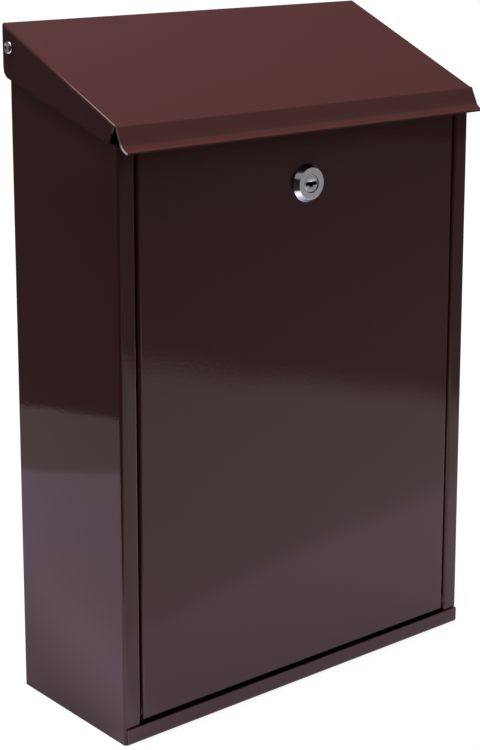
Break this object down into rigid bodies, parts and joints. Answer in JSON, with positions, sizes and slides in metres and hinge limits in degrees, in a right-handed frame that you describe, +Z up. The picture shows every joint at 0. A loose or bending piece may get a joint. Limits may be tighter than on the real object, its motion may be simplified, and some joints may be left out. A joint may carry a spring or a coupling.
{
  "type": "wall mounted mailbox",
  "caption": "Upright sheet-metal wall mailbox with a sloping hinged lid over the letter mouth and a bottom-hinged front door held by a cam lock.",
  "frame": {"origin": "On the wall, at the centre of the rectangle of four wall screw holes.", "axes": "+Z up, +Y into the wall that the box hangs on, so the door faces -Y; +X to the right of someone facing the door."},
  "size_m": [0.2668, 0.1208, 0.3875],
  "materials": {
    "brown_paint": "gloss chocolate brown powder paint",
    "lock_chrome": "satin nickel-chrome plate",
    "black_plastic": "moulded nylon, black",
    "zinc_plate": "bright zinc plate",
    "aluminium": "plain",
    "steel": "plain"
  },
  "bodies": {
    "box": {"body_shell": "brown_paint", "bottom_pan": "brown_paint", "top_rail": "brown_paint", "lid_rivet_left": "aluminium", "lid_rivet_right": "aluminium", "lid_backing_washer_left": "zinc_plate", "lid_backing_washer_right": "zinc_plate", "door_hinge_pin_left": "steel", "door_hinge_pin_right": "steel", "door_hinge_washer_left": "black_plastic", "door_hinge_washer_right": "black_plastic"},
    "lid": {"lid": "brown_paint"},
    "door": {"door_panel": "brown_paint", "lock_housing": "lock_chrome", "lock_washer": "zinc_plate", "lock_nut": "zinc_plate"},
    "lock": {"lock_plug": "lock_chrome", "lock_cam": "zinc_plate", "cam_washer": "zinc_plate", "cam_screw": "zinc_plate"}
  },
  "joints": [
    {"name": "lid_swing", "type": "hinge", "parent": "box", "child": "lid", "pos_m": [0, -0.0128, 0.1894], "axis": [-1, 0, 0], "range_deg": [0, 33]},
    {"name": "door_swing", "type": "hinge", "parent": "box", "child": "door", "pos_m": [0, -0.105, -0.168], "axis": [1, 0, 0], "range_deg": [0, 108]},
    {"name": "lock_turn", "type": "hinge", "parent": "door", "child": "lock", "pos_m": [0, -0.11, 0.113], "axis": [0, -1, 0], "range_deg": [0, 90]}
  ]
}
